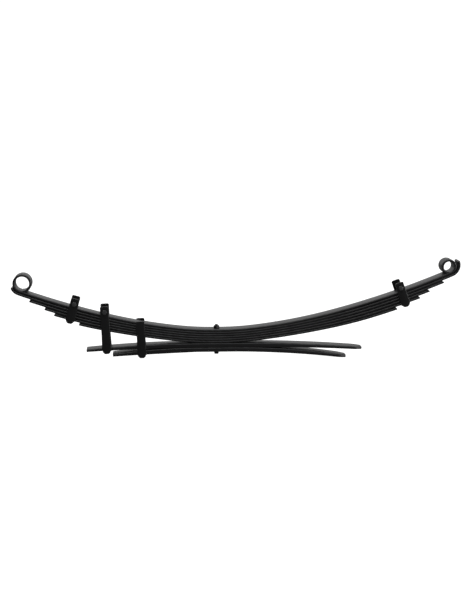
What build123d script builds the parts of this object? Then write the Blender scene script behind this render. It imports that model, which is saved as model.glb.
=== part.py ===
from build123d import *
import os
from math import asin, atan2, cos, radians, sin, sqrt

os.makedirs("parts", exist_ok=True)

# A truck's rear leaf spring: six cambered main leaves over two tapered overload leaves, millimetres, +Z up.
# Side-view work is done in seat coordinates: x = 0 on the centre bolt, z = 0 on the top of the main leaf there.
SEAT_X = -61.7          # where the centre bolt stands in the shared frame
SEAT_Z = 92.0           # height of the main leaf's top face at the centre bolt

# ---- leaves ----
LEAF_WIDTH = 60.0
LEAF_T = 7.0
LEAF_COUNT = 6
TIP_GAP = 1.77          # how far apart the liners hold the leaves on the arms
SEAT_FLAT = 12.0        # flat half-length under the centre nut
CAMBER_NEAR = (98.0, radians(6.2))      # first arc of the main leaf's top face: length, turn
CAMBER_MID = (244.0, radians(8.2))      # second arc
CAMBER_EASE = (150.0, radians(3.18))    # third arc
CAMBER_FAR_R = 2700.0                   # radius of the rest of each arm
SPREAD = 0.009          # turn, in radians, that each lower leaf gives up in the second arc and takes back in the third
TIP_BEVEL = 3.0         # a leaf's sheared end runs this much further at its underside
FRONT, REAR = -1, 1
TIPS = {                # where leaves 3 to 6 end, front and rear
    2: (563.5, 694.0),
    3: (518.0, 650.0),
    4: (489.5, 621.0),
    5: (415.0, 551.0),
}

# ---- eyes, at the two ends of the main leaf ----
EYE_X = {FRONT: 587.0, REAR: 711.0}
EYE_R = {FRONT: 21.5, REAR: 16.0}
EYE_TURN = {FRONT: radians(316.0), REAR: radians(311.0)}
WRAP_TURN = {FRONT: radians(47.0), REAR: radians(87.0)}
WRAP_EXTRA_R = {FRONT: 0.0, REAR: 5.6}  # the rear wrapper stands off its eye, so that the eye can open

# ---- overload leaves ----
BODY_GAP = 0.3          # air between pieces that move apart
LAY_GAP = 0.1           # air between curved faces that only lie together
OVER_T = 13.5
OVER_FLAT = 60.0
UPPER = {"top_r": (3500.0, 4400.0), "ends": (396.0, 446.0), "mid_x": 250.0, "mid_t": 11.8, "end_t": 7.7}
LOWER = {"top_r": (1950.0, 2020.0), "ends": (316.5, 397.0), "mid_x": 230.0, "mid_t": 13.2, "end_t": 8.2}
TIP_TRIM = 22.0         # length of the trimmed corners on the overload leaves' rear tips
TIP_TRIM_IN = 11.0

# ---- centre bolt ----
CB_R = 5.0
CB_HOLE_R = 5.5
CB_HEAD_R = 7.0
CB_HEAD_H = 10.0
CB_NUT_AF = 17.0
CB_NUT_H = 8.0
CB_END = 4.0            # thread left above the nut
CB_CHAMFER = 1.0

# ---- rebound clips ----
STRAP_T = 5.0
CLIP_INSIDE = 64.0
CLIP_TOP_W = 26.0
CLIP_BASE_W = 29.0
CLIP_BEND_R = 7.0
CLIP_CORNER_R = 4.5
CLIP_WAIST = 45.0       # height above the base at which the leg reaches its top width
CLIP_BOLT_R = 4.0
CLIP_BOLT_ABOVE = 10.5  # clip bolt's axis above the main leaf's top face
CLIP_LEG_ABOVE = 27.5   # leg tops above the main leaf's top face
GUIDE_LEG_ABOVE = 4.5   # the same for the open guide clip
CLIP_HEX_AF = 13.0
CLIP_HEAD_H = 5.3
CLIP_NUT_H = 6.5
CLIP_THREAD_END = 3.0
SLEEVE_R = 6.3
SLEEVE_BORE_R = 4.08    # turns on the clip bolt
SLEEVE_L = 63.0
RIVET_R = 4.0
RIVET_HOLE_R = 4.4
RIVET_HEAD_R = 7.5
RIVET_HEAD_H = 6.0
RIVET_SINK_R = 6.8
RIVET_SINK_H = 2.6

# ---- liners, between the leaf tips ----
LINER_L = 46.0
LINER_W = 52.0
LINER_INSET = 6.0       # from the leaf's tip to the liner's end
BUTTON_R = 6.0
BUTTON_HOLE_R = 6.2
BUTTON_H = 4.5

SIDE = Plane(origin=(SEAT_X, 0, SEAT_Z), x_dir=(1, 0, 0), z_dir=(0, -1, 0))


def arcs(k):
    """(length, turn) of leaf k's middle line from the seat outwards. k is 0 for the main leaf."""
    deeper = (k + 0.5) * LEAF_T
    near = (CAMBER_NEAR[0] + deeper * CAMBER_NEAR[1], CAMBER_NEAR[1])
    mid = (CAMBER_MID[0] + deeper * CAMBER_MID[1], CAMBER_MID[1] - k * SPREAD)
    ease = (CAMBER_EASE[0] + deeper * CAMBER_EASE[1], CAMBER_EASE[1] + k * SPREAD)
    far_r = CAMBER_FAR_R + deeper + k * TIP_GAP
    far = (0.3 * far_r, 0.3)
    return [(SEAT_FLAT, 0.0), near, mid, ease, far]


def walk(k, distance):
    """(x, z, heading) after a distance along leaf k's middle line."""
    x, z, heading = 0.0, -(k + 0.5) * LEAF_T, 0.0
    for length, turn in arcs(k):
        step = min(distance, length)
        bend = turn * step / length
        chord = step if turn == 0 else 2 * length / turn * sin(bend / 2)
        x += chord * cos(heading + bend / 2)
        z += chord * sin(heading + bend / 2)
        heading += bend
        distance -= step
        if distance <= 0:
            break
    return x, z, heading


def along(k, x):
    """The distance along leaf k's middle line at which it has gone x outwards."""
    low, high = 0.0, 1.4 * x + 1
    for _ in range(50):
        middle = (low + high) / 2
        if walk(k, middle)[0] < x:
            low = middle
        else:
            high = middle
    return low


def off(spot, depth, side):
    """The sketch point at a depth above (+) or below (-) a spot of a middle line, on the front or rear arm."""
    x, z, heading = spot
    return side * (x - depth * sin(heading)), z + depth * cos(heading)


def turned(spot, radius, turn):
    """The spot reached from another by an upward arc of a middle line."""
    x, z, heading = spot
    centre_x, centre_z = x - radius * sin(heading), z + radius * cos(heading)
    heading += turn
    return centre_x + radius * sin(heading), centre_z - radius * cos(heading), heading


def ribbon_lines(k, side, begin, end, half, curl=None, toe=0.0):
    """Draws the closed outline of leaf k's arm between two distances, then round an optional (radius, turn) curl.

    A toe is how much further the underside runs than the top.
    """
    stops = [begin]
    reached = 0.0
    for length, _ in arcs(k):
        reached += length
        if begin < reached < end:
            stops.append(reached)
    stops.append(end)
    spans = [[walk(k, a), walk(k, (a + b) / 2), walk(k, b)] for a, b in zip(stops, stops[1:])]
    if curl:
        radius, turn = curl
        start = walk(k, end)
        for n in range(2):
            spans.append([turned(start, radius, turn * (n + part) / 2) for part in (0, 0.5, 1)])
    for span in spans:
        straight = span[0][2] == span[2][2]
        for depth in (half, -half):
            points = [off(spot, depth, side) for spot in span]
            if straight:
                Line(points[0], points[2])
            else:
                ThreePointArc(*points)
    first, last = spans[0][0], spans[-1][2]
    x, z, heading = last
    reach = (x + toe * cos(heading), z + toe * sin(heading), heading)
    if toe:
        Line(off(last, -half, side), off(reach, -half, side))
    Line(off(first, half, side), off(first, -half, side))
    Line(off(last, half, side), off(reach, -half, side))


def eye_start(k, side):
    """The distance along leaf k's middle line at which it begins to curl about the eye."""
    low, high = 300.0, 900.0
    reach = EYE_R[side] + LEAF_T / 2
    for _ in range(50):
        middle = (low + high) / 2
        x, _, heading = walk(0, middle)
        if x - reach * sin(heading) < EYE_X[side]:
            low = middle
        else:
            high = middle
    return low + k * (LEAF_T + TIP_GAP) * walk(0, low)[2]


def eye_centre(side):
    """The eye's centre in seat coordinates."""
    return off(walk(0, eye_start(0, side)), EYE_R[side] + LEAF_T / 2, side)


def at(k, x, depth, side):
    """A plane on leaf k at x outwards and a depth above its middle line: x along the leaf, z out of its top face."""
    spot = walk(k, along(k, x))
    px, pz = off(spot, depth, side)
    lean = side * spot[2]
    return Plane(
        origin=(SEAT_X + px, 0, SEAT_Z + pz), x_dir=(cos(lean), 0, sin(lean)), z_dir=(-sin(lean), 0, cos(lean))
    )


def local(plane, x, z):
    """The same plane moved by x and z of its own."""
    return Plane(origin=plane.origin + plane.x_dir * x + plane.z_dir * z, x_dir=plane.x_dir, z_dir=plane.z_dir)


def gap_above(k, x):
    """The air between leaf k's top face and the underside of the leaf above it, at x outwards."""
    heading = walk(k, along(k, x))[2]
    upper_x, upper_z = off(walk(k - 1, along(k - 1, x)), -LEAF_T / 2, REAR)
    lower_x, lower_z = off(walk(k, along(k, x)), LEAF_T / 2, REAR)
    return (upper_z - lower_z) * cos(heading) - (upper_x - lower_x) * sin(heading)


def hex_radius(across_flats):
    """The corner radius of a hexagon."""
    return across_flats / sqrt(3)


# ---- where things sit on the leaves ----
CLIP_LEAF = 4           # the short clips are riveted to leaf 5
SHORT_X = {FRONT: 444.0, REAR: 577.5}
LONG_X = 334.5
GUIDE_X = 228.0
LINER_MID = LINER_INSET + LINER_L / 2

# ---- main leaf ----
with BuildPart() as main_leaf:
    with BuildSketch(SIDE):
        for side in (FRONT, REAR):
            with BuildLine():
                ribbon_lines(
                    0, side, 0, eye_start(0, side), LEAF_T / 2, (EYE_R[side] + LEAF_T / 2, EYE_TURN[side])
                )
            make_face()
    extrude(amount=LEAF_WIDTH / 2, both=True)
    with BuildSketch(Plane.XY):
        with Locations((SEAT_X, 0)):
            Circle(CB_HOLE_R)
    extrude(amount=SEAT_Z + LEAF_WIDTH, mode=Mode.SUBTRACT)

# ---- wrapper leaf ----
with BuildPart() as wrapper_leaf:
    with BuildSketch(SIDE):
        for side in (FRONT, REAR):
            with BuildLine():
                wrap_r = EYE_R[side] + 1.5 * LEAF_T + TIP_GAP + WRAP_EXTRA_R[side]
                ribbon_lines(1, side, 0, eye_start(1, side), LEAF_T / 2, (wrap_r, WRAP_TURN[side]))
            make_face()
    extrude(amount=LEAF_WIDTH / 2, both=True)
    with BuildSketch(Plane.XY):
        with Locations((SEAT_X, 0)):
            Circle(CB_HOLE_R)
    extrude(amount=SEAT_Z + LEAF_WIDTH, mode=Mode.SUBTRACT)

# ---- leaves 3 to 6 ----
graduated = {}
for k, ends in TIPS.items():
    with BuildPart() as leaf:
        with BuildSketch(SIDE):
            for side, tip in zip((FRONT, REAR), ends):
                with BuildLine():
                    ribbon_lines(k, side, 0, along(k, tip), LEAF_T / 2, toe=TIP_BEVEL)
                make_face()
        extrude(amount=LEAF_WIDTH / 2, both=True)
        with BuildSketch(Plane.XY):
            with Locations((SEAT_X, 0)):
                Circle(CB_HOLE_R)
        extrude(amount=SEAT_Z + LEAF_WIDTH, mode=Mode.SUBTRACT)
        for side, tip in zip((FRONT, REAR), ends):
            with BuildSketch(at(k, tip - LINER_MID, 0, side)):
                Circle(BUTTON_HOLE_R)
            extrude(amount=LEAF_T, both=True, mode=Mode.SUBTRACT)
        if k == CLIP_LEAF:
            for side, x in SHORT_X.items():
                with BuildSketch(at(k, x, 0, side)):
                    Circle(RIVET_HOLE_R)
                extrude(amount=LEAF_T, both=True, mode=Mode.SUBTRACT)
                top = at(k, x, LEAF_T / 2, side)
                with BuildSketch(top):
                    Circle(RIVET_SINK_R + BODY_GAP)
                with BuildSketch(local(top, 0, -RIVET_SINK_H - BODY_GAP)):
                    Circle(RIVET_HOLE_R)
                loft(mode=Mode.SUBTRACT)
    graduated[k] = leaf

# ---- overload leaves ----
over_top = {"overload_leaf_upper": -LEAF_COUNT * LEAF_T - BODY_GAP}
over_top["overload_leaf_lower"] = over_top["overload_leaf_upper"] - OVER_T - LAY_GAP
overloads = {}


def droop(shape, x):
    """How far an overload leaf's top face has dropped at x, which is negative on the front arm."""
    out = max(0.0, abs(x) - OVER_FLAT)
    radius = shape["top_r"][0 if x < 0 else 1]
    return radius - sqrt(radius**2 - out**2)


def thickness(shape, x, end):
    """An overload leaf's thickness at x, thinning towards an end."""
    out = abs(x) - OVER_FLAT
    run, mid = end - OVER_FLAT, shape["mid_x"] - OVER_FLAT
    a, b = OVER_T - shape["mid_t"], OVER_T - shape["end_t"]
    curve = (b / run - a / mid) / (run - mid)
    slope = a / mid - curve * mid
    return OVER_T - out * (slope + curve * out)


for name, shape in {"overload_leaf_upper": UPPER, "overload_leaf_lower": LOWER}.items():
    level = over_top[name]
    with BuildPart() as leaf:
        with BuildSketch(SIDE):
            for side, end in zip((FRONT, REAR), shape["ends"]):
                middle = (OVER_FLAT + end) / 2
                top = [(side * x, level - droop(shape, side * x)) for x in (OVER_FLAT, middle, end)]
                base = [(x, z - thickness(shape, x, end)) for x, z in top]
                with BuildLine():
                    Line((0, level), top[0])
                    ThreePointArc(*top)
                    Line(top[2], base[2])
                    ThreePointArc(*base)
                    Line(base[0], (0, level - OVER_T))
                    Line((0, level - OVER_T), (0, level))
                make_face()
        extrude(amount=LEAF_WIDTH / 2, both=True)
        with BuildSketch(Plane.XY):
            with Locations((SEAT_X, 0)):
                Circle(CB_HOLE_R)
            for edge in (-1, 1):
                corner_x, corner_y = SEAT_X + shape["ends"][1], edge * LEAF_WIDTH / 2
                with BuildLine():
                    Polyline(
                        (corner_x + 1, corner_y - edge * TIP_TRIM_IN),
                        (corner_x + 1, corner_y + edge),
                        (corner_x - TIP_TRIM, corner_y + edge),
                        (corner_x - TIP_TRIM, corner_y),
                        (corner_x, corner_y - edge * TIP_TRIM_IN),
                        close=True,
                    )
                make_face()
        extrude(amount=SEAT_Z, mode=Mode.SUBTRACT)
    overloads[name] = leaf


def under(name, shape, x, end):
    """The plane on an overload leaf's underside at x on the front arm, its x along the leaf and its z up."""
    low = [over_top[name] - droop(shape, -n) - thickness(shape, n, end) for n in (x - 1, x, x + 1)]
    lean = atan2(low[0] - low[2], 2)
    base = low[1] - LAY_GAP
    return Plane(
        origin=(SEAT_X - x, 0, SEAT_Z + base), x_dir=(cos(lean), 0, sin(lean)), z_dir=(-sin(lean), 0, cos(lean))
    )


# ---- the four clips' seats: the plane each base lies on, and what it is riveted through ----
upper_end, lower_end = UPPER["ends"][0], LOWER["ends"][0]
clip_planes = {
    "front_clip": local(at(CLIP_LEAF, SHORT_X[FRONT], -LEAF_T / 2, FRONT), 0, -BODY_GAP),
    "rear_clip": local(at(CLIP_LEAF, SHORT_X[REAR], -LEAF_T / 2, REAR), 0, -BODY_GAP),
    "long_clip": under("overload_leaf_upper", UPPER, LONG_X, upper_end),
    "guide_clip": under("overload_leaf_lower", LOWER, GUIDE_X, lower_end),
}
through = {
    "front_clip": LEAF_T + BODY_GAP,
    "rear_clip": LEAF_T + BODY_GAP,
    "long_clip": thickness(UPPER, LONG_X, upper_end),
    "guide_clip": thickness(LOWER, GUIDE_X, lower_end),
}


def main_top_over(plane):
    """How far the main leaf's top face is above a clip's base plane, measured up the clip."""
    low, high = 0.0, 200.0
    for _ in range(50):
        middle = (low + high) / 2
        spot = plane.origin + plane.z_dir * middle
        side = FRONT if spot.X < SEAT_X else REAR
        x, z = abs(spot.X - SEAT_X), spot.Z - SEAT_Z
        leaf_x, leaf_z, heading = walk(0, along(0, x))
        if z < leaf_z + LEAF_T / 2 / cos(heading):
            low = middle
        else:
            high = middle
    return low


rivet_holes = {"long_clip": "overload_leaf_upper", "guide_clip": "overload_leaf_lower"}
for clip, name in rivet_holes.items():
    plane, depth = clip_planes[clip], through[clip]
    with BuildPart() as cutter:
        with BuildSketch(plane):
            Circle(RIVET_HOLE_R)
        extrude(amount=depth + 1, both=True)
        with BuildSketch(local(plane, 0, depth - RIVET_SINK_H)):
            Circle(RIVET_HOLE_R)
        with BuildSketch(local(plane, 0, depth + BODY_GAP)):
            Circle(RIVET_SINK_R + 2 * BODY_GAP)
        loft()
    with overloads[name]:
        add(cutter.part, mode=Mode.SUBTRACT)

# ---- clip straps, rivets, bolts, nuts and sleeves ----
clip_parts = {}
pins = {}
for clip, plane in clip_planes.items():
    bolted = clip != "guide_clip"
    rise = main_top_over(plane)
    leg = rise + (CLIP_LEG_ABOVE if bolted else GUIDE_LEG_ABOVE)
    bolt_up = rise + CLIP_BOLT_ABOVE
    across = Plane(origin=plane.origin, x_dir=(0, 1, 0), z_dir=plane.x_dir)
    flank = Plane(origin=plane.origin, x_dir=plane.x_dir, z_dir=(0, -1, 0))
    outside = CLIP_INSIDE + 2 * STRAP_T
    with BuildPart() as strap:
        with BuildSketch(across):
            with Locations((0, (leg - STRAP_T) / 2)):
                Rectangle(outside, leg + STRAP_T)
            fillet(vertices().group_by(Axis((0, 0, 0), (0, 1, 0)))[0], CLIP_BEND_R)
            with BuildSketch(mode=Mode.PRIVATE) as inside:
                with Locations((0, leg)):
                    Rectangle(CLIP_INSIDE, 2 * leg)
                fillet(inside.vertices().group_by(Axis.Y)[0], CLIP_BEND_R - STRAP_T)
            add(inside.sketch, mode=Mode.SUBTRACT)
        extrude(amount=CLIP_BASE_W / 2, both=True)
        with BuildSketch(flank):
            with BuildLine():
                Polyline(
                    (-CLIP_BASE_W / 2, -STRAP_T - 1),
                    (CLIP_BASE_W / 2, -STRAP_T - 1),
                    (CLIP_TOP_W / 2, min(leg - CLIP_CORNER_R, CLIP_WAIST)),
                    (CLIP_TOP_W / 2, leg),
                    (-CLIP_TOP_W / 2, leg),
                    (-CLIP_TOP_W / 2, min(leg - CLIP_CORNER_R, CLIP_WAIST)),
                    close=True,
                )
            make_face()
        extrude(amount=outside, both=True, mode=Mode.INTERSECT)
        with BuildSketch(plane):
            Circle(RIVET_R)
        extrude(amount=STRAP_T + 1, both=True, mode=Mode.SUBTRACT)
        if bolted:
            with BuildSketch(flank):
                with Locations((0, bolt_up)):
                    Circle(CLIP_BOLT_R)
            extrude(amount=outside, both=True, mode=Mode.SUBTRACT)
        legs_top = strap.edges().filter_by(Axis.Y).group_by(
            lambda e: round((e.center() - plane.origin).dot(plane.z_dir), 1)
        )[-1]
        fillet(legs_top, CLIP_CORNER_R)
    clip_parts[clip + "_strap"] = strap

    depth = through[clip]
    dome_r = (RIVET_HEAD_R**2 + RIVET_HEAD_H**2) / (2 * RIVET_HEAD_H)
    dome_z = -STRAP_T - RIVET_HEAD_H + dome_r
    half_dome = asin(RIVET_HEAD_R / dome_r) / 2
    with BuildPart() as rivet:
        with BuildSketch(flank):
            with BuildLine():
                Polyline(
                    (0, -STRAP_T - RIVET_HEAD_H),
                    (0, depth),
                    (RIVET_SINK_R, depth),
                    (RIVET_R, depth - RIVET_SINK_H),
                    (RIVET_R, -STRAP_T),
                    (RIVET_HEAD_R, -STRAP_T),
                )
                ThreePointArc(
                    (RIVET_HEAD_R, -STRAP_T),
                    (dome_r * sin(half_dome), dome_z - dome_r * cos(half_dome)),
                    (0, -STRAP_T - RIVET_HEAD_H),
                )
            make_face()
        revolve(axis=Axis(plane.origin, plane.z_dir))
    clip_parts[clip + "_rivet"] = rivet

    if not bolted:
        continue
    pin = local(plane, 0, bolt_up)
    pins[clip] = pin.origin
    near = Plane(origin=pin.origin + Vector(0, -outside / 2, 0), x_dir=plane.x_dir, z_dir=(0, -1, 0))
    far = Plane(origin=pin.origin + Vector(0, outside / 2, 0), x_dir=plane.x_dir, z_dir=(0, 1, 0))
    with BuildPart() as bolt:
        with BuildSketch(near):
            RegularPolygon(hex_radius(CLIP_HEX_AF), 6)
        extrude(amount=CLIP_HEAD_H)
        with BuildSketch(near):
            Circle(CLIP_BOLT_R)
        extrude(amount=-(outside + CLIP_NUT_H + CLIP_THREAD_END))
        chamfer(bolt.edges().sort_by(Axis.Y)[-1], CB_CHAMFER)
    clip_parts[clip + "_bolt"] = bolt

    with BuildPart() as nut:
        with BuildSketch(far):
            RegularPolygon(hex_radius(CLIP_HEX_AF), 6)
            Circle(CLIP_BOLT_R, mode=Mode.SUBTRACT)
        extrude(amount=CLIP_NUT_H)
    clip_parts[clip + "_nut"] = nut

    with BuildPart() as sleeve:
        with BuildSketch(Plane(origin=pin.origin, x_dir=plane.x_dir, z_dir=(0, 1, 0))):
            Circle(SLEEVE_R)
            Circle(SLEEVE_BORE_R, mode=Mode.SUBTRACT)
        extrude(amount=SLEEVE_L / 2, both=True)
    clip_parts[clip + "_sleeve"] = sleeve

# ---- centre bolt and nut ----
stack_base = over_top["overload_leaf_lower"] - OVER_T
bolt_top = BODY_GAP + CB_NUT_H + CB_END
with BuildPart() as centre_bolt:
    with BuildSketch(Plane(origin=(SEAT_X, 0, SEAT_Z + stack_base))):
        Circle(CB_HEAD_R)
    extrude(amount=-CB_HEAD_H)
    chamfer(centre_bolt.edges().sort_by(Axis.Z)[0], CB_CHAMFER)
    with BuildSketch(Plane(origin=(SEAT_X, 0, SEAT_Z + stack_base))):
        Circle(CB_R)
    extrude(amount=bolt_top - stack_base)
    chamfer(centre_bolt.edges().sort_by(Axis.Z)[-1], CB_CHAMFER)

with BuildPart() as centre_nut:
    with BuildSketch(Plane(origin=(SEAT_X, 0, SEAT_Z + BODY_GAP))):
        RegularPolygon(hex_radius(CB_NUT_AF), 6)
        Circle(CB_R, mode=Mode.SUBTRACT)
    extrude(amount=CB_NUT_H)

# ---- liners ----
liners = {}
for k, ends in TIPS.items():
    for side, tip, word in zip((FRONT, REAR), ends, ("front", "rear")):
        end = along(k, tip - LINER_INSET)
        begin = end - LINER_L
        low = LEAF_T / 2 + LAY_GAP
        lift = LEAF_T / 2 + gap_above(k, tip - LINER_INSET - LINER_L) - LAY_GAP
        with BuildPart() as liner:
            with BuildSketch(SIDE):
                with BuildLine():
                    for depth in (low, lift):
                        ThreePointArc(*[off(walk(k, s), depth, side) for s in (begin, (begin + end) / 2, end)])
                    for s in (begin, end):
                        Line(off(walk(k, s), low, side), off(walk(k, s), lift, side))
                make_face()
            extrude(amount=LINER_W / 2, both=True)
            with BuildSketch(at(k, tip - LINER_MID, lift, side)):
                Circle(BUTTON_R)
            extrude(amount=-(lift - LEAF_T / 2 + BUTTON_H))
        liners[f"liner_{k + 1}_{word}"] = liner

nodes = {"main_leaf": main_leaf, "wrapper_leaf": wrapper_leaf}
nodes |= {f"leaf_{k + 1}": leaf for k, leaf in graduated.items()}
nodes |= overloads
nodes |= {"centre_bolt": centre_bolt, "centre_nut": centre_nut}
nodes |= clip_parts
nodes |= liners
for name, piece in nodes.items():
    piece.part.label = name
    export_step(piece.part, f"parts/{name}.step")

box = Compound(children=[piece.part for piece in nodes.values()]).bounding_box()
print("box", box.min, box.max)
for side, word in ((FRONT, "front"), (REAR, "rear")):
    x, z = eye_centre(side)
    print(word, "eye at", round(SEAT_X + x, 3), round(SEAT_Z + z, 3))
print("underside of the overload leaves at", round(SEAT_Z + stack_base, 3))
for clip, origin in pins.items():
    print(clip, "bolt at", round(origin.X, 3), round(origin.Z, 3))
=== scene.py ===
# %% [markdown]
# # A truck's leaf spring
# A leaf spring is a stack of cambered steel strips. Loading the axle flattens the stack, and the strips
# slide on each other. The engineering model is loaded first and stays fixed. Each finished piece made
# here takes the place of one of its nodes and keeps its size and place. All lengths are in metres, +X
# from the front eye to the rear eye, +Z up.

# %% Load the engineering model
import bpy
import numpy as np
from mathutils import Matrix, Vector


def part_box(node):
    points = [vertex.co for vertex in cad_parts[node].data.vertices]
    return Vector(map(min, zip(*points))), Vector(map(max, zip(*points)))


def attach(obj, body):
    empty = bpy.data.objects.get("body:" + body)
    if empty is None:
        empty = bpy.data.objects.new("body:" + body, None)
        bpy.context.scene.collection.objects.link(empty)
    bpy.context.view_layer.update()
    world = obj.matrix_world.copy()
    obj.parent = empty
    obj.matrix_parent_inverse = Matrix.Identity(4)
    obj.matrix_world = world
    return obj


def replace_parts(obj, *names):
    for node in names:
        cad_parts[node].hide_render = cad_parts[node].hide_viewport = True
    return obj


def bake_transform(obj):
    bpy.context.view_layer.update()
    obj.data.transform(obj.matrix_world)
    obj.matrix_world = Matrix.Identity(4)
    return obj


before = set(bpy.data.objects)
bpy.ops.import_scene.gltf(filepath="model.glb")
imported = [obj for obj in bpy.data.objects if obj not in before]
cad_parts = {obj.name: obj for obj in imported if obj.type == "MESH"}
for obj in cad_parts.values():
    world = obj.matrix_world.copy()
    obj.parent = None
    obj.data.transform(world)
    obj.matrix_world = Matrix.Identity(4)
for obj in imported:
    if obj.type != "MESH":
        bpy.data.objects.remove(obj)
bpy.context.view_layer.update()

# %% [markdown]
# ## Camera
# A long lens a few metres away keeps the two eyes nearly the same size. The camera looks slightly down,
# so the top of the main leaf shows, and slightly from the front, so both eyes show their inner walls.
# Azimuth, elevation and distance are easier to reason about than a raw position, so the position comes
# from them.

# %% Camera
AZIMUTH, ELEVATION = np.radians([-3.46, 8.30])
DISTANCE, LENS = 4.66, 89.0
AIM = Vector((0.0015, 0.0, 0.1533))

back = Vector((np.sin(AZIMUTH) * np.cos(ELEVATION), -np.cos(AZIMUTH) * np.cos(ELEVATION), np.sin(ELEVATION)))
camera = bpy.data.objects.new("camera", bpy.data.cameras.new("camera"))
bpy.context.scene.collection.objects.link(camera)
camera.data.lens = LENS
camera.data.clip_end = 1000
look = (-back).to_track_quat("-Z", "Y").to_matrix().to_4x4()
camera.matrix_world = Matrix.Translation(AIM + back * DISTANCE) @ look
bpy.context.scene.camera = camera
print("camera at", [round(v, 3) for v in camera.location])

# %% [markdown]
# ## Surfaces from a grid
# Almost every shape here is a grid of points worked out with numpy and joined into quads. A grid may
# close on itself in either direction, as a tube does, and its open ends may be capped.

# %% Numpy surface helper
def surface(name, points, wrap_u=False, wrap_v=False, caps=False):
    """A mesh over a grid of points with shape (rows, columns, 3): each grid cell is one quad.

    Rows may wrap (wrap_u) and columns may wrap (wrap_v). With caps, a fan closes each end row to its centre.
    """
    rows, cols = points.shape[:2]
    grid = np.arange(rows * cols).reshape(rows, cols)
    if wrap_u:
        grid = np.vstack([grid, grid[:1]])
    if wrap_v:
        grid = np.hstack([grid, grid[:, :1]])
    quads = np.stack([grid[:-1, :-1], grid[1:, :-1], grid[1:, 1:], grid[:-1, 1:]], -1).reshape(-1, 4)
    verts = points.reshape(-1, 3)
    faces = quads.tolist()
    if caps:
        first, last = len(verts), len(verts) + 1
        verts = np.vstack([verts, points[0].mean(0), points[-1].mean(0)])
        ring0, ring1 = grid[0], grid[-1]
        faces += np.stack([ring0[:-1], ring0[1:], np.full(len(ring0) - 1, first)], -1).tolist()
        faces += np.stack([ring1[1:], ring1[:-1], np.full(len(ring1) - 1, last)], -1).tolist()
    mesh = bpy.data.meshes.new(name)
    mesh.from_pydata(verts.tolist(), [], faces)
    mesh.polygons.foreach_set("use_smooth", np.ones(len(mesh.polygons), bool))
    mesh.set_sharp_from_angle(angle=np.radians(38))
    piece = bpy.data.objects.new(name, mesh)
    bpy.context.scene.collection.objects.link(piece)
    return piece


# %% [markdown]
# ## Paper floor and studio light
# A black object on white needs light shaped by what it mirrors. Wide soft boxes above give the tops of
# the leaves an even sheen, while the sides face a dimmer room and stay dark. The floor is a very wide
# sheet of white paper.

# %% Floor
reach = np.array([-400.0, -3.0, 3.0, 400.0])
grid_x, grid_y = np.meshgrid(reach, reach)
floor = surface("paper_floor", np.stack([grid_y, grid_x, np.full_like(grid_x, -0.0005)], -1))

# %% [markdown]
# ## Soft boxes
# A soft box is a large rectangular light. Its size sets how wide its reflection is, and it is hidden from
# the camera, so it only shows as a sheen on the paint. The one high in front draws the thin line along
# each leaf's upper edge.

# %% Soft boxes
def softbox(name, place, aim, size, power):
    """A square area light that faces a point."""
    lamp = bpy.data.objects.new(name, bpy.data.lights.new(name, "AREA"))
    lamp.data.shape = "RECTANGLE"
    lamp.data.size, lamp.data.size_y = size
    lamp.data.energy = power
    lamp.location = place
    lamp.rotation_euler = (Vector(aim) - Vector(place)).to_track_quat("-Z", "Y").to_euler()
    lamp.visible_camera = False
    bpy.context.scene.collection.objects.link(lamp)
    return lamp


softbox("overhead", (0.0, 0.6, 4.2), (0, 0.2, 0), (5.0, 4.0), 150)
softbox("backlight", (0.0, 5.5, 2.1), (0, 0, 0.2), (7.0, 4.0), 70)
softbox("right_side", (4.0, -0.7, 0.7), (0.6, 0, 0.2), (2.6, 1.2), 190)
softbox("front_high", (-0.3, -2.6, 4.6), (0, 0, 0.1), (4.0, 0.9), 165)

# %% [markdown]
# ## The room
# The camera sees a white room, but the paint mirrors a much dimmer one. The Light Path node tells the two
# apart.

# %% Room
world = bpy.data.worlds.new("room")
bpy.context.scene.world = world
world.use_nodes = True
seen = world.node_tree.nodes.new("ShaderNodeLightPath")
strength = world.node_tree.nodes.new("ShaderNodeMapRange")
strength.inputs["To Min"].default_value, strength.inputs["To Max"].default_value = 0.13, 1.05
world.node_tree.links.new(seen.outputs["Is Camera Ray"], strength.inputs["Value"])
world.node_tree.links.new(strength.outputs["Result"], world.node_tree.nodes["Background"].inputs["Strength"])
world.node_tree.nodes["Background"].inputs["Color"].default_value = (1, 1, 1, 1)
bpy.context.scene.view_settings.view_transform = "Standard"

# %% [markdown]
# ## Finishes
# The spring is dipped in satin black paint over shot-peened steel. Close up, the peened dimples telegraph
# through as a fine bump and the gloss drifts slowly along each leaf, and the long rounded edges carry a
# painted highlight, a slightly paler colour. The noise is in object space, so it is the same size on
# every piece.

# %% Node helpers
def material(name):
    """An empty node material and its nodes, links and main shader."""
    made = bpy.data.materials.new(name)
    made.use_nodes = True
    tree = made.node_tree
    return made, tree.nodes, tree.links, tree.nodes["Principled BSDF"]


def noise(nodes, links, scale, detail=3.0, stretch=(1, 1, 1)):
    """A noise texture on object coordinates, stretched along the axes."""
    coordinates = nodes.new("ShaderNodeTexCoord")
    mapping = nodes.new("ShaderNodeMapping")
    mapping.inputs["Scale"].default_value = stretch
    texture = nodes.new("ShaderNodeTexNoise")
    texture.inputs["Scale"].default_value = scale
    texture.inputs["Detail"].default_value = detail
    links.new(coordinates.outputs["Object"], mapping.inputs["Vector"])
    links.new(mapping.outputs["Vector"], texture.inputs["Vector"])
    return texture


def ramp(nodes, links, source, low, high, start=0.35, end=0.65):
    """A colour ramp between two colours, driven by a value."""
    made = nodes.new("ShaderNodeValToRGB")
    made.color_ramp.elements[0].position, made.color_ramp.elements[0].color = start, (*low, 1)
    made.color_ramp.elements[1].position, made.color_ramp.elements[1].color = end, (*high, 1)
    links.new(source, made.inputs["Fac"])
    return made


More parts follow.
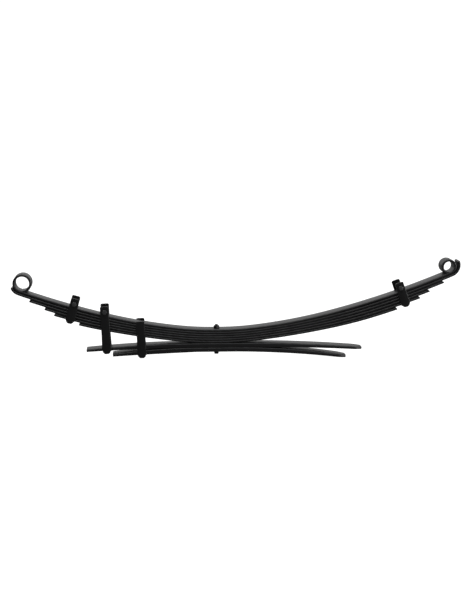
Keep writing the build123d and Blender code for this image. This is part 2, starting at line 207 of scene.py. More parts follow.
def to_range(nodes, links, source, low, high):
    """Maps 0 to 1 onto low to high."""
    made = nodes.new("ShaderNodeMapRange")
    made.inputs["To Min"].default_value, made.inputs["To Max"].default_value = low, high
    links.new(source, made.inputs["Value"])
    return made.outputs["Result"]


def bump(nodes, links, height, distance, strength=1.0, below=None):
    """A bump node; distance is the relief's height in metres."""
    made = nodes.new("ShaderNodeBump")
    made.inputs["Distance"].default_value = distance
    made.inputs["Strength"].default_value = strength
    links.new(height, made.inputs["Height"])
    if below:
        links.new(below, made.inputs["Normal"])
    return made.outputs["Normal"]


# %% [markdown]
# ## Satin black paint
# Two blacks are mixed by a slow noise that also moves the roughness. The edge attribute, which the leaf
# meshes carry, brings in a painted highlight, a paler colour on the rounded edges, broken up by a finer
# noise. Voronoi cells make the peened dimples.

# %% Satin black paint
# The colour of the painted highlight on the rounded edges, paler than the paint.
EDGE_HIGHLIGHT = (0.020, 0.020, 0.021, 1)


def satin_paint(name, dark, pale, rough, peen, gloss):
    """Paint between two blacks, its roughness drifting between two values, over dimples of a given depth."""
    made, nodes, links, shader = material(name)
    drift = noise(nodes, links, 9.0, 4.0, (0.35, 1, 1))
    speck = noise(nodes, links, 420.0, 2.0)
    tone = ramp(nodes, links, drift.outputs["Fac"], dark, pale)
    # Painted highlight: the edge attribute lays a paler colour on the rounded edges, broken up by a finer
    # noise.
    edge = nodes.new("ShaderNodeAttribute")
    edge.attribute_name = "edge"
    highlight_mask = nodes.new("ShaderNodeMath")
    highlight_mask.operation = "MULTIPLY"
    highlight_breakup = noise(nodes, links, 60.0, 5.0)
    links.new(edge.outputs["Fac"], highlight_mask.inputs[0])
    links.new(to_range(nodes, links, highlight_breakup.outputs["Fac"], -0.6, 1.3), highlight_mask.inputs[1])
    highlight_mask.use_clamp = True
    mix = nodes.new("ShaderNodeMix")
    mix.data_type = "RGBA"
    links.new(highlight_mask.outputs[0], mix.inputs["Factor"])
    links.new(tone.outputs["Color"], mix.inputs["A"])
    mix.inputs["B"].default_value = EDGE_HIGHLIGHT
    links.new(mix.outputs["Result"], shader.inputs["Base Color"])
    links.new(to_range(nodes, links, drift.outputs["Fac"], *rough), shader.inputs["Roughness"])
    dimples = nodes.new("ShaderNodeTexVoronoi")
    dimples.inputs["Scale"].default_value = 520.0
    links.new(speck.inputs["Vector"].links[0].from_socket, dimples.inputs["Vector"])
    fine = bump(nodes, links, dimples.outputs["Distance"], peen)
    links.new(bump(nodes, links, speck.outputs["Fac"], peen * 0.7, 1.0, fine), shader.inputs["Normal"])
    shader.inputs["Specular IOR Level"].default_value = gloss
    return made


leaf_paint = satin_paint(
    "leaf_paint", (0.0045, 0.0045, 0.0048), (0.0075, 0.0075, 0.0080), (0.36, 0.48), 0.00006, 0.22)
strap_paint = satin_paint(
    "strap_paint", (0.0022, 0.0022, 0.0024), (0.0042, 0.0042, 0.0045), (0.34, 0.48), 0.00008, 0.24)


# %% [markdown]
# ## Phosphate, nylon and paper
# The small bolts are phosphated, the liners are nylon and the floor is paper. All three are a fine grain
# between two close colours. The paper glows for the camera alone, so it looks white and hardly lights the
# steel.

# %% Black phosphate, nylon and paper
def plain_finish(name, dark, pale, rough, scale, relief, specular=0.4, metallic=0.0):
    """A finish between two colours with a fine relief."""
    made, nodes, links, shader = material(name)
    grain = noise(nodes, links, scale, 4.0)
    tone = ramp(nodes, links, grain.outputs["Fac"], dark, pale)
    links.new(tone.outputs["Color"], shader.inputs["Base Color"])
    links.new(to_range(nodes, links, grain.outputs["Fac"], *rough), shader.inputs["Roughness"])
    links.new(bump(nodes, links, grain.outputs["Fac"], relief), shader.inputs["Normal"])
    shader.inputs["Specular IOR Level"].default_value = specular
    shader.inputs["Metallic"].default_value = metallic
    return made


phosphate = plain_finish(
    "black_phosphate", (0.016, 0.016, 0.017), (0.030, 0.030, 0.031), (0.34, 0.5), 700.0, 0.00002)
nylon = plain_finish(
    "black_nylon", (0.008, 0.008, 0.009), (0.014, 0.014, 0.015), (0.5, 0.62), 900.0, 0.00001)
white_paper = plain_finish(
    "white_paper", (0.17, 0.17, 0.17), (0.19, 0.19, 0.19), (0.9, 1.0), 30.0, 0.00001, 0.1)
tree = white_paper.node_tree
tree.nodes["Principled BSDF"].inputs["Emission Color"].default_value = (1, 1, 1, 1)
glow = tree.nodes.new("ShaderNodeMapRange")
glow.inputs["To Min"].default_value, glow.inputs["To Max"].default_value = 0.05, 1.05
tree.links.new(tree.nodes.new("ShaderNodeLightPath").outputs["Is Camera Ray"], glow.inputs["Value"])
tree.links.new(glow.outputs["Result"], tree.nodes["Principled BSDF"].inputs["Emission Strength"])
floor.data.materials.append(white_paper)
print("finishes", [m.name for m in bpy.data.materials])


def finish(piece, paint):
    """Gives a piece its paint."""
    piece.data.materials.append(paint)
    return piece


# %% [markdown]
# ## Leaves
# A spring leaf is flat bar bent to a camber, so its shape is a rounded rectangle carried along a middle
# line. The middle line is a chain of arcs, each with a length and a turn, and every lower leaf turns a
# little less near the seat, which opens the air gap that the liners fill. Rounded edges catch a thin line
# of light on each leaf.

# %% [markdown]
# ## Middle lines
# A point on a chain of arcs is found one arc at a time: the chord of an arc is its length times sin(a) /
# a, where a is half its bend, and it points along the heading turned by a. numpy.sinc gives that ratio
# without a division by zero.

# %% Middle lines
SEAT = np.array([-0.0617, 0.0920])
WIDTH, LEAF_T, TIP_GAP, SPREAD = 0.060, 0.0070, 0.00177, 0.009
FRONT, REAR = -1, 1


def camber(k):
    """(length, turn) of each arc of leaf k's middle line, from the seat outwards."""
    deeper = (k + 0.5) * LEAF_T
    turns = np.radians([0, 6.2, 8.2, 3.18, 0]) + SPREAD * k * np.array([0, 0, -1, 1, 0])
    lengths = np.array([0.012, 0.098, 0.244, 0.150, 0]) + deeper * np.radians([0, 6.2, 8.2, 3.18, 0])
    far_radius = 2.7 + deeper + k * TIP_GAP
    turns[-1], lengths[-1] = 0.3, 0.3 * far_radius
    return lengths, turns


def trace(lengths, turns, start, s):
    """Points and headings at distances s along a chain of arcs: each arc adds its chord, turned by half
    its bend.
    """
    x, z, heading = (np.full_like(s, v) for v in start)
    gone = 0.0
    for length, turn in zip(lengths, turns):
        step = np.clip(s - gone, 0, length)
        bend = turn * step / length
        chord = step * np.sinc(bend / 2 / np.pi)
        x = x + chord * np.cos(heading + bend / 2)
        z = z + chord * np.sin(heading + bend / 2)
        heading = heading + bend
        gone += length
    return x, z, heading


def start_of(k):
    """Where leaf k's middle line begins: straight under the seat's top face."""
    return 0.0, -(k + 0.5) * LEAF_T, 0.0


def distance_at(k, x):
    """The distance along leaf k's middle line at which it has gone x outwards, read off a fine table."""
    s = np.linspace(0, 0.85, 4001)
    return float(np.interp(x, trace(*camber(k), start_of(k), s)[0], s))


print("main leaf reaches 0.5 m out after", round(distance_at(0, 0.5), 4), "m of leaf")


# %% [markdown]
# ## A profile carried along a path
# The ribbon is the shape behind every leaf, liner and strap. At each station a rounded rectangle is drawn
# across the path. It also stores how far along and how far round each corner is, and marks the rounded
# edges.

# %% Carrying a profile along a path
def ribbon(name, centre, normal, wide, half_t, half_w, corner=0.0032, toe=0.0, tangent=None, corner_steps=7):
    """A bar with rounded edges: at each station, the loop centre + n * normal + w * wide.

    n and w follow a rounded rectangle of half_t by half_w. A toe slides the last underside further along.
    The mesh gets a UV map of (distance, girth) in metres, and an attribute, edge, 1 on the rounded corners.
    """
    count = len(centre)
    half_t, half_w = np.broadcast_to(half_t, count), np.broadcast_to(half_w, count)
    arc = np.linspace(0, np.pi / 2, corner_steps)
    turn = np.concatenate([arc + q * np.pi / 2 for q in range(4)])
    sign_w = np.repeat([1, -1, -1, 1], corner_steps)
    sign_n = np.repeat([1, 1, -1, -1], corner_steps)
    r = np.minimum(corner, 0.98 * np.minimum(half_t, half_w))[:, None]
    w = sign_w * (half_w[:, None] - r) + r * np.cos(turn)
    n = sign_n * (half_t[:, None] - r) + r * np.sin(turn)
    loop = centre[:, None] + n[..., None] * normal[:, None] + w[..., None] * wide[:, None]
    if toe:
        slide = toe * np.clip(1 - np.arange(count)[::-1] / 3, 0, 1)[:, None] * (0.5 - n / LEAF_T)
        loop = loop + slide[..., None] * tangent[:, None]
    piece = surface(name, loop, wrap_v=True, caps=True)
    recalculate(piece)
    along = np.concatenate([[0], np.cumsum(np.linalg.norm(np.diff(centre, axis=0), axis=1))])
    girth = np.concatenate([[0], np.cumsum(np.hypot(np.diff(w.mean(0)), np.diff(n.mean(0))))])
    u = np.concatenate([np.repeat(along, len(turn)), [0, along[-1]]])
    v = np.concatenate([np.tile(girth, count), [0, 0]])
    corners = np.zeros(len(piece.data.loops), int)
    piece.data.loops.foreach_get("vertex_index", corners)
    layer = piece.data.uv_layers.new(name="length_and_girth")
    layer.data.foreach_set("uv", np.stack([u[corners], v[corners]], -1).astype(np.float32).ravel())
    # Marks the rounded corners, where the paint gets its painted highlight.
    on_corner = np.concatenate([np.tile(np.sin(2 * np.tile(arc, 4)) > 0.3, count), [False, False]])
    layer = piece.data.attributes.new("edge", "FLOAT", "POINT")
    layer.data.foreach_set("value", on_corner.astype(np.float32))
    return piece


# %% [markdown]
# ## Facing outwards and baking
# A closed mesh with its faces the wrong way round has a negative volume, which is a quick test for
# flipping them. The leaf pieces have their transform baked into their meshes.

# %% Facing and baking
def recalculate(piece):
    """Turns a closed piece's faces outwards: if the mesh's signed volume is negative, every face is
    flipped.
    """
    mesh = piece.data
    mesh.calc_loop_triangles()
    corners = np.zeros(len(mesh.loop_triangles) * 3, int)
    mesh.loop_triangles.foreach_get("vertices", corners)
    place = np.zeros(len(mesh.vertices) * 3)
    mesh.vertices.foreach_get("co", place)
    a, b, c = place.reshape(-1, 3)[corners].reshape(-1, 3, 3).transpose(1, 0, 2)
    if np.einsum("ij,ij->i", a, np.cross(b, c)).sum() < 0:
        mesh.flip_normals()


def side_view(x, z, heading, side):
    """Middle-line arrays in seat coordinates as points, upward normals and tangents in the shared frame."""
    centre = np.stack([SEAT[0] + side * x, np.zeros_like(x), SEAT[1] + z], -1)
    normal = np.stack([-side * np.sin(heading), np.zeros_like(x), np.cos(heading)], -1)
    tangent = np.stack([side * np.cos(heading), np.zeros_like(x), np.sin(heading)], -1)
    return centre, normal, tangent


ACROSS = np.array([0.0, 1.0, 0.0])


def flexes(piece):
    """Bakes the piece's transform into its mesh."""
    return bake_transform(piece)


# %% [markdown]
# ## Main leaf and its eyes
# At each end the main leaf is rolled up and back over itself into an eye, which takes a bush. The curl is
# one more arc on the middle line, so the same ribbon makes arm and eye together. The arm is made in two
# halves that meet under the centre nut.

# %% [markdown]
# ## Where an eye begins
# The arm ends where a line square to it passes through the eye's centre. Stations are the distances at
# which the profile is drawn, closer together where the leaf curls and at its sheared end.

# %% Eye sizes and stations
EYE = {FRONT: (0.587, 0.0215, 343.0), REAR: (0.711, 0.0160, 340.0)}
WRAP = {FRONT: (0.0, 47.0), REAR: (0.0056, 87.0)}
WORD = {FRONT: "front", REAR: "rear"}


def eye_begins(k, side):
    """The distance along leaf k at which it is straight under the eye's centre, across the leaf."""
    at, bore, _ = EYE[side]
    s = np.linspace(0.3, 0.85, 8001)
    x, _, heading = trace(*camber(0), start_of(0), s)
    reach = float(np.interp(at, x - (bore + LEAF_T / 2) * np.sin(heading), s))
    return reach + k * (LEAF_T + TIP_GAP) * float(np.interp(reach, s, heading))


def stations(length, turn_length, fine=0.0012):
    """Distances along an arm: every 6 mm on the arm, every 1.2 mm round the curl, and close together at
    the tip.
    """
    arm = np.arange(0, length, 0.006)
    curl = np.arange(length, length + turn_length - 0.004, fine)
    end = length + turn_length - np.array([0.004, 0.002, 0.0008, 0.0002, 0.0])
    return np.concatenate([arm, curl, end])


def tip_shrink(s, bevel=0.0006):
    """How much thinner the bar is at distance s from its cut end: a small quarter-round on the sheared
    edges.
    """
    left = np.clip((s[-1] - s) / bevel, 0, 1)
    return bevel * (1 - np.sqrt(1 - (1 - left) ** 2))


# %% [markdown]
# ## Curling the end of a leaf
# A full-thickness end could not close the ring, so the last part of the curl is thinned where it meets
# the arm.

# %% Curled leaves
THINNEST = 0.0002


def taper(s, begin, bore, turn):
    """How much of an eye's outer side is ground off, so that its end lies on the arm and closes the bore.

    The arm's top is a tangent of the bore, so at an angle d short of the full turn it is bore / cos(d) away.
    """
    short = 2 * np.pi - (s - begin) / (bore + LEAF_T / 2)
    away = np.where(np.abs(short) < 1.2, (bore - 0.0002) / np.cos(np.clip(short, -1.2, 1.2)), 1.0)
    return np.clip(bore + LEAF_T - away, 0, LEAF_T - 0.0009) * (s > begin) * (turn > 180)


def curled_leaf(name, k, side, bore, radius, turn):
    """Leaf k's arm with one more arc at its end, of a radius and a turn in degrees."""
    begin = eye_begins(k, side)
    lengths, turns = camber(k)
    keep = np.cumsum(lengths) < begin
    part = keep.sum()
    left = begin - lengths[:part].sum()
    chain = np.append(lengths[:part], [left, radius * np.radians(turn)])
    bends = np.append(turns[:part], [turns[part] * left / lengths[part], np.radians(turn)])
    s = stations(begin, radius * np.radians(turn))
    centre, normal, tangent = side_view(*trace(chain, bends, start_of(k), s), side)
    ground = taper(s, begin, bore, turn)
    centre = centre + normal * (ground / 2)[:, None]
    shrink = tip_shrink(s)
    half_t = np.maximum(LEAF_T / 2 - ground / 2 - shrink, THINNEST)
    return ribbon(name, centre, normal, np.tile(ACROSS, (len(s), 1)), half_t, WIDTH / 2 - shrink)


# %% [markdown]
# ## Main leaf and wrapper
# The wrapper is the second leaf. It hooks under the front eye and curls loosely round the rear one, so
# that it can catch the axle if the main leaf breaks.

# %% Main leaf and wrapper leaf
for side in (FRONT, REAR):
    _, bore, turn = EYE[side]
    half = curled_leaf(f"main_leaf_{WORD[side]}", 0, side, bore, bore + LEAF_T / 2, turn)
    flexes(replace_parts(finish(half, leaf_paint), "main_leaf"))
    extra, turn = WRAP[side]
    outer = bore + 1.5 * LEAF_T + TIP_GAP + extra
    half = curled_leaf(f"wrapper_leaf_{WORD[side]}", 1, side, bore, outer, turn)
    flexes(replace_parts(finish(half, leaf_paint), "wrapper_leaf"))
    print(half.name, "triangles", sum(len(p.vertices) - 2 for p in half.data.polygons))

# %% [markdown]
# ## Graduated leaves
# Leaves three to six get shorter step by step, so the pack is strongest at the axle. Each end is sheared
# at a slant, which leaves the underside a little longer than the top.

# %% Leaves 3 to 6
TIPS = {2: (0.5635, 0.694), 3: (0.518, 0.650), 4: (0.4895, 0.621), 5: (0.415, 0.551)}

for k, ends in TIPS.items():
    for side, tip in zip((FRONT, REAR), ends):
        s = stations(distance_at(k, tip) - 0.02, 0.02, 0.003)
        centre, normal, tangent = side_view(*trace(*camber(k), start_of(k), s), side)
        shrink = tip_shrink(s)
        half = ribbon(f"leaf_{k + 1}_{WORD[side]}", centre, normal, np.tile(ACROSS, (len(s), 1)),
                      LEAF_T / 2 - shrink, WIDTH / 2 - shrink, toe=0.003, tangent=tangent)
        flexes(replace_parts(finish(half, leaf_paint), f"leaf_{k + 1}"))
print("leaf 3 spans", round(sum(TIPS[2]), 3), "m")

# %% [markdown]
# ## Overload leaves
# The two bottom leaves are thicker, nearly straight and thin towards their ends, so they only work when
# the truck is loaded. The rear tips have their corners trimmed. Their thickness changes, so each face of
# an arm is one arc of its own, and the middle line lies halfway between the two.

# %% Overload leaves
OVER_TOP, OVER_T, OVER_FLAT = -0.0423, 0.0135, 0.060
OVERLOAD = {
    "upper": (OVER_TOP, (3.5, 4.4), (0.396, 0.446), 0.250, 0.0118, 0.0077),
    "lower": (OVER_TOP - OVER_T - 0.0001, (1.95, 2.02), (0.3165, 0.397), 0.230, 0.0132, 0.0082),
}


def circle_through(x, points):
    """Height at x of the circle through three points, from its centre and radius."""
    (ax, az), (bx, bz), (cx, cz) = points
    system = 2 * np.array([[bx - ax, bz - az], [cx - ax, cz - az]])
    px, pz = np.linalg.solve(system, [bx**2 - ax**2 + bz**2 - az**2, cx**2 - ax**2 + cz**2 - az**2])
    radius = np.hypot(ax - px, az - pz)
    return pz + np.sqrt(radius**2 - (x - px) ** 2) * np.sign(az - pz)


def overload_faces(which, side, x):
    """Heights of an overload leaf's top and bottom faces at x: flat at the seat, then one arc each to the
    tip.
    """
    level, radii, ends, mid_x, mid_t, end_t = OVERLOAD[which]
    end, radius = ends[(side + 1) // 2], radii[(side + 1) // 2]
    out = np.array([0, (end - OVER_FLAT) / 2, end - OVER_FLAT])
    run, mid = end - OVER_FLAT, mid_x - OVER_FLAT
    a, b = OVER_T - mid_t, OVER_T - end_t
    curve = (b / run - a / mid) / (run - mid)
    thick = OVER_T - out * (a / mid - curve * mid + curve * out)
    top = level - radius + np.sqrt(radius**2 - out**2)
    arc_x = np.maximum(x, OVER_FLAT)
    upper = circle_through(arc_x, np.stack([out + OVER_FLAT, top], -1))
    lower = circle_through(arc_x, np.stack([out + OVER_FLAT, top - thick], -1))
    return upper, lower


# %% [markdown]
# ## Making the overload leaves
# Each arm is a ribbon whose thickness changes along it. The rear tips have their corners trimmed in plan.

# %% Overload arms
TRIM_IN, TRIM_BACK = 0.011, 0.022

for which in OVERLOAD:
    for side in (FRONT, REAR):
        end = OVERLOAD[which][2][(side + 1) // 2]
        near_tip = np.array([0.022, 0.015, 0.008, 0.003, 0.0010, 0.0003, 0])
        x = np.concatenate([np.arange(0, end - 0.024, 0.006), end - near_tip])
        upper, lower = overload_faces(which, side, x)
        middle = (upper + lower) / 2
        centre, normal, tangent = side_view(x, middle, np.arctan(np.gradient(middle, x)), side)
        half_w = WIDTH / 2 - tip_shrink(x, 0.001)
        if side == REAR:
            half_w = half_w - TRIM_IN * np.clip(1 - (end - x) / TRIM_BACK, 0, 1)
        half = ribbon(f"overload_{which}_{WORD[side]}", centre, normal, np.tile(ACROSS, (len(x), 1)),
                      (upper - lower) / 2 - tip_shrink(x, 0.001), half_w, corner=0.0034)
        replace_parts(finish(half, leaf_paint), f"overload_leaf_{which}")
        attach(half, "axle_seat")

# %% [markdown]
# ## Liners
# Thin nylon pads sit between the leaves near their tips. They stop the steel from squeaking, and set the
# gap.

# %% Liners
PAD_LONG, PAD_HALF_WIDE, PAD_INSET = 0.046, 0.026, 0.006


def liner(k, tip, side):
    """A pad 46 mm long on leaf k, a tenth of a millimetre clear of the leaves above and below it."""
    outer = distance_at(k, tip - PAD_INSET)
    s = np.linspace(outer - PAD_LONG, outer, 17)
    x, z, heading = trace(*camber(k), start_of(k), s)
    inner_x = tip - PAD_INSET - PAD_LONG
    inner = distance_at(k, inner_x)
    ux, uz, _ = trace(*camber(k - 1), start_of(k - 1), np.array([distance_at(k - 1, inner_x)]))
    lx, lz, lean = trace(*camber(k), start_of(k), np.array([inner]))
    gap = float(((uz - lz) * np.cos(lean) - (ux - lx) * np.sin(lean))[0]) - LEAF_T
    half_t = gap / 2 - 0.0001
    centre, normal, _ = side_view(x, z, heading, side)
    centre = centre + normal * (LEAF_T / 2 + gap / 2)
    made = ribbon(f"liner_{k + 1}_{WORD[side]}_pad", centre, normal, np.tile(ACROSS, (len(s), 1)),
                  half_t, PAD_HALF_WIDE, corner=0.0005, corner_steps=3)
    return flexes(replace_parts(finish(made, nylon), f"liner_{k + 1}_{WORD[side]}"))


pads = [liner(k, tip, side) for k, ends in TIPS.items() for side, tip in zip((FRONT, REAR), ends)]
print("liners", len(pads))

# %% [markdown]
# ## Rebound clips
# Each clip is a steel strap bent into a U round the leaves and riveted underneath. It keeps the leaves in
# line and makes them lift together when the wheel drops. A strap is a ribbon too, carried down one leg,
# round two bends and up the other, wider at the base than at the top, with its two top ends rounded off.
# The base sags a little towards each bend, so the rounded feet hang below the leaf.

# %% Where each clip sits
STRAP_T, INSIDE, BEND = 0.005, 0.064, 0.0045
TOP_HALF, BASE_HALF, TOP_R, WAIST = 0.0130, 0.0145, 0.0045, 0.045
BELOW_LEAF = LEAF_T / 2 + 0.0003
CLIP_BODY = {"front": "front_clip", "rear": "rear_clip", "long": "axle_seat", "guide": "axle_seat"}
BOLTED = ("front", "rear", "long")


def leaf_plane(k, x, depth, side):
    """Origin, tangent and normal of the plane at a depth above leaf k's middle line; the tangent points to
    +X.
    """
    px, pz, heading = trace(*camber(k), start_of(k), np.array([distance_at(k, x)]))
    centre, normal, tangent = side_view(px, pz, heading, side)
    return centre[0] + normal[0] * depth, side * tangent[0], normal[0]


def overload_plane(which, x, below=0.0001):
    """The same on the underside of an overload leaf's front arm."""
    reach = np.array([x - 0.001, x, x + 0.001])
    _, low = overload_faces(which, FRONT, reach)
    lean = np.arctan2(low[0] - low[2], 0.002)
    origin = np.array([SEAT[0] - x, 0, SEAT[1] + low[1] - below])
    return origin, np.array([np.cos(lean), 0, np.sin(lean)]), np.array([-np.sin(lean), 0, np.cos(lean)])


PLANES = {
    "front": leaf_plane(4, 0.444, -BELOW_LEAF, FRONT),
    "rear": leaf_plane(4, 0.5775, -BELOW_LEAF, REAR),
    "long": overload_plane("upper", 0.3345),
    "guide": overload_plane("lower", 0.228),
}
TOPS = {}
for word, (origin, tangent, normal) in PLANES.items():
    low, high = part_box(f"{word}_clip_strap")
    round_top = (TOP_HALF - TOP_R) * abs(normal[0]) + TOP_R * (1 - normal[2])
    TOPS[word] = float((high.z - origin[2] - round_top) / normal[2])
print("leg heights in mm", {w: round(t * 1000, 1) for w, t in TOPS.items()})


# %% [markdown]
# ## Bending a strap
# The U is drawn flat first, as a height for each distance across. The half width then changes along the
# U, which cuts the round feet, the rivet's pad and the rounded tops out of one plain ribbon.

# %% Straps
DIP, DIP_FROM, DIP_OVER = 0.0045, 0.48, 0.46


def u_path(leg):
    """A U in (across, up): half the base, a quarter circle, then up the leg; the other half is its mirror.

    The base sags by DIP along a smooth step, which starts and runs for the given shares of its half length.
    """
    side = INSIDE / 2 + STRAP_T / 2
    turn = np.linspace(0, np.pi / 2, 10)
    top = leg - TOP_R * (1 - np.sin(np.linspace(0, np.pi / 2, 9)))
    base = np.linspace(0, side - BEND, 31)[:-1]
    sink = np.clip((base / (side - BEND) - DIP_FROM) / DIP_OVER, 0, 1)
    y = np.concatenate([base, side - BEND + BEND * np.sin(turn), np.full(23, side)])
    up_leg = np.linspace(BEND - DIP, top[0] + STRAP_T / 2, 16)[1:-1]
    sag = -DIP * sink**2 * (3 - 2 * sink)
    z = np.concatenate([sag, BEND - BEND * np.cos(turn) - DIP, up_leg, top + STRAP_T / 2]) - STRAP_T / 2
    return np.concatenate([-y[:0:-1], y]), np.concatenate([z[:0:-1], z])


def strap_half_width(y, z, leg):
    """Half width along the U: legs taper up to the waist, and each end of the base is cut to a half circle.

    A round pad is left for the rivet in the middle of the base, and the legs end in quarter circles.
    """
    lowest = STRAP_T + DIP
    above = z + lowest
    risen = np.clip(above / (min(leg - TOP_R, WAIST) + lowest), 0, 1)
    legs = BASE_HALF + (TOP_HALF - BASE_HALF) * risen
    foot = np.sqrt(BASE_HALF**2 - (BASE_HALF - np.clip(above - 0.0016, 0.0004, BASE_HALF)) ** 2)
    pad = np.sqrt(np.clip(BASE_HALF**2 - y**2, 0, None))
    left = np.clip((leg - z) / TOP_R, 0, 1)
    return np.minimum(legs, np.maximum(foot, pad)) - TOP_R * (1 - np.sqrt(1 - (1 - left) ** 2))


def strap(word):
    """A strap's ribbon: the U in the plane across the leaf, its width along the leaf."""
    origin, tangent, normal = PLANES[word]
    y, z = u_path(TOPS[word])
    centre = origin + y[:, None] * ACROSS + z[:, None] * normal
    step = np.gradient(centre, axis=0)
    step /= np.linalg.norm(step, axis=1, keepdims=True)
    made = ribbon(f"{word}_strap", centre, np.cross(step, tangent), np.tile(tangent, (len(y), 1)),
                  STRAP_T / 2, strap_half_width(y, z, TOPS[word]), corner=0.0012, corner_steps=4)
    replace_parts(finish(made, strap_paint), f"{word}_clip_strap")
    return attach(made, CLIP_BODY[word])


straps = [strap(word) for word in CLIP_BODY]
print("straps", [s.name for s in straps])

# %% [markdown]
# ## Rivets
# A rivet is a turned shape: a profile spun about its axis. The head under the strap is a shallow dome
# with a small flat rim, where the snap tool stopped.

# %% Turned pieces
def turned(name, profile, origin, axis, aside, count=48):
    """A profile of (radius, height) pairs spun about an axis through origin. Both ends are on the axis."""
    spin = np.linspace(0, 2 * np.pi, count, endpoint=False)
    third = np.cross(axis, aside)
    r, h = np.array(profile)[1:-1].T
    ring = np.cos(spin)[:, None] * aside + np.sin(spin)[:, None] * third
    points = origin + r[:, None, None] * ring[None] + h[:, None, None] * axis
    piece = surface(name, points, wrap_v=True, caps=True)
    ends = np.array([origin + h_end * axis for _, h_end in (profile[0], profile[-1])])
    place = np.zeros(len(piece.data.vertices) * 3, np.float32)
    piece.data.vertices.foreach_get("co", place)
    place[-6:] = ends.ravel()
    piece.data.vertices.foreach_set("co", place)
    recalculate(piece)
    return piece


def dome(radius, height, base, steps=12):
    """(radius, height) pairs of a shallow dome below a base: an arc of the circle through rim and crown."""
    circle = (radius**2 + height**2) / 2 / height
    sweep = np.linspace(0, np.arcsin(radius / circle), steps)
    return [(circle * np.sin(a), base - height + circle * (1 - np.cos(a))) for a in sweep]


# %% [markdown]
# ## Setting the rivets
# A rivet stands square to the leaf it holds, so it uses the same plane as its strap.

# %% Rivets
def rivet(word):
    """Dome head, short rim, shank and a flat countersunk end."""
    origin, tangent, normal = PLANES[word]
    low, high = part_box(f"{word}_clip_rivet")
    depth = (Vector(high).z - origin[2]) / normal[2] - 0.0068 * abs(normal[0]) / normal[2]
    profile = dome(0.0075, 0.0054, -STRAP_T - 0.0006) + [
        (0.0075, -STRAP_T), (0.004, -STRAP_T), (0.004, depth - 0.0026), (0.0066, depth), (0.0, depth)]
    made = turned(f"{word}_rivet", profile, origin, normal, tangent)
    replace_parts(finish(made, strap_paint), f"{word}_clip_rivet")
    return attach(made, CLIP_BODY[word])


rivets = [rivet(word) for word in CLIP_BODY]
print("rivets", len(rivets))

# %% [markdown]
# ## Bolts and nuts
# A hexagon's distance from its middle changes with the angle: half the width across flats over the cosine
# of the angle from the nearest flat. Turning the corners off a hexagon bar gives the curved chamfers, so
# the radius is also kept under a cone. A thread is a zigzag in height that slides round with the angle.

# %% Hexagons and threads
def hexagon(name, flats, low, high, origin, axis, aside, crown=True, foot=False):
    """A hexagonal head from low to high along an axis, its corners turned off at the crown and a nut's
    foot.
    """
    spin = np.linspace(0, 2 * np.pi, 96, endpoint=False)
    third = np.cross(axis, aside)
    edge = flats / 2 / np.cos((spin + np.pi / 6) % (np.pi / 3) - np.pi / 6)
    fall = 0.09 * flats
    rise = np.linspace(0, fall, 7)
    h = np.concatenate([low + rise, [(low + high) / 2], high - rise[::-1]])
    cone_top = 0.475 * flats + (high - h) * 1.75 if crown else np.full_like(h, flats)
    cone_foot = 0.475 * flats + (h - low) * 1.75 if foot else np.full_like(h, flats)
    r = np.minimum(edge[None], np.minimum(cone_top, cone_foot)[:, None])
    ring = np.cos(spin)[:, None] * aside + np.sin(spin)[:, None] * third
    points = origin + r[..., None] * ring[None] + h[:, None, None] * axis
    piece = surface(name, points, wrap_v=True, caps=True)
    recalculate(piece)
    return piece


# %% [markdown]
# ## Threads
# Height over pitch, less the share of a turn, is constant along a helix. A zigzag of that value is a
# thread.

# %% Threads
def threaded(name, radius, pitch, low, high, origin, axis, aside, lead=0.0008):
    """A rod whose radius zigzags by 0.6 of the pitch as height / pitch - angle / turn goes round."""
    spin = np.linspace(0, 2 * np.pi, 40, endpoint=False)
    third = np.cross(axis, aside)
    h = np.arange(low, high, pitch / 8)
    phase = (h[:, None] / pitch - spin[None] / 2 / np.pi) % 1
    zigzag = 0.6 * pitch * np.abs(2 * phase - 1)
    end = lead * np.clip(1 - (high - h) / lead, 0, 1)
    r = radius - np.clip(zigzag, 0.06 * pitch, 0.54 * pitch) - end[:, None]
    ring = np.cos(spin)[:, None] * aside + np.sin(spin)[:, None] * third
    points = origin + r[..., None] * ring[None] + h[:, None, None] * axis
    piece = surface(name, points, wrap_v=True, caps=True)
    recalculate(piece)
    return piece


# %% [markdown]
# ## Clip bolts
# The bolt runs through the legs of the strap above the main leaf, and carries a loose sleeve that keeps
# the legs apart. The sleeve turns on the bolt, so it rides on a body of its own.

# %% Clip bolts, nuts and sleeves
M8_FLATS, M8_R, M8_PITCH, SHANK_R = 0.013, 0.004, 0.00125, 0.0039


def clip_bolt(word):
    """Bolt, nut and sleeve across one clip, about the axis of the CAD sleeve."""
    body = CLIP_BODY[word]
    low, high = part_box(f"{word}_clip_sleeve")
    origin = np.array((low + high) / 2)
    _, tangent, normal = PLANES[word]
    outer = INSIDE / 2 + STRAP_T
    head = hexagon(f"{word}_bolt_head", M8_FLATS, outer, outer + 0.0053, origin, -ACROSS, normal)
    through = outer + 0.001
    rod = [(0, -outer), (SHANK_R, -outer), (SHANK_R, through), (0, through)]
    shank = turned(f"{word}_bolt_shank", rod, origin, -ACROSS, normal)
    start, stop = outer - 0.002, outer + 0.0095
    thread = threaded(f"{word}_bolt_thread", M8_R, M8_PITCH, start, stop, origin, ACROSS, normal)
    for made in (head, shank, thread):
        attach(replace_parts(finish(made, phosphate), f"{word}_clip_bolt"), body)
    nut = hexagon(f"{word}_nut", M8_FLATS, outer, outer + 0.0065, origin, ACROSS, normal, foot=True)
    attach(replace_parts(finish(nut, phosphate), f"{word}_clip_nut"), body)
    sleeve(word, origin, tangent)


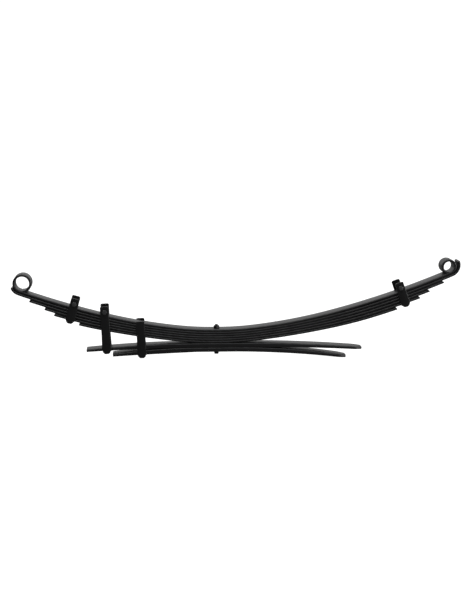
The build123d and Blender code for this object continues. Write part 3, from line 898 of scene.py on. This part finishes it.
def sleeve(word, origin, tangent):
    """A tube 63 mm long: out along the bore, round the lip, back along the outside, as one closed loop."""
    bore, wall, half, lip = 0.00408, 0.0063, 0.0315, 0.0005
    r = np.array([bore, bore, bore + lip, wall - lip, wall, wall, wall - lip, bore + lip])
    h = np.array([-half + lip, half - lip, half, half, half - lip, -half + lip, -half, -half])
    spin = np.linspace(0, 2 * np.pi, 40, endpoint=False)
    up = np.cross(tangent, ACROSS)
    ring = np.cos(spin)[:, None] * tangent + np.sin(spin)[:, None] * up
    points = origin + r[:, None, None] * ring[None] + h[:, None, None] * ACROSS
    made = surface(f"{word}_sleeve", points, wrap_u=True, wrap_v=True)
    recalculate(made)
    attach(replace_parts(finish(made, phosphate), f"{word}_clip_sleeve"), f"{word}_clip_roller")


for word in BOLTED:
    clip_bolt(word)
print("bolted clips", BOLTED)

# %% [markdown]
# ## Centre bolt
# One bolt holds the whole pack together. Its round head stands below the lowest leaf and drops into a
# hole in the axle's spring pad, which locates the axle. The nut sits on the main leaf.

# %% Centre bolt and nut
M10_FLATS, M10_R, M10_PITCH = 0.017, 0.005, 0.0015
UP, RIGHT = np.array([0.0, 0, 1]), np.array([1.0, 0, 0])
seat_top = np.array([SEAT[0], 0, SEAT[1]])
low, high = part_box("centre_bolt")
base = 0.010 - (SEAT[1] - low.z)
head = [(0, base - 0.010), (0.0056, base - 0.010), (0.0064, base - 0.0095), (0.0068, base - 0.0085),
        (0.0070, base - 0.005), (0.0070, base), (0.0049, base), (0.0049, -0.004), (0, -0.004)]
bolt_head = turned("centre_bolt_head", head, seat_top, UP, RIGHT)
bolt_top = high.z - SEAT[1]
bolt_thread = threaded("centre_bolt_thread", M10_R, M10_PITCH, -0.006, bolt_top, seat_top, UP, RIGHT, 0.001)
for made in (bolt_head, bolt_thread):
    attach(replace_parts(finish(made, strap_paint), "centre_bolt"), "axle_seat")
nut = hexagon("centre_nut_hex", M10_FLATS, 0.0003, 0.0083, seat_top, UP, RIGHT, foot=True)
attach(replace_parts(finish(nut, strap_paint), "centre_nut"), "axle_seat")
print("centre bolt from", round(low.z, 4), "to", round(high.z, 4))

# %% [markdown]
# ## Finish

# %% Finish
bpy.context.view_layer.update()
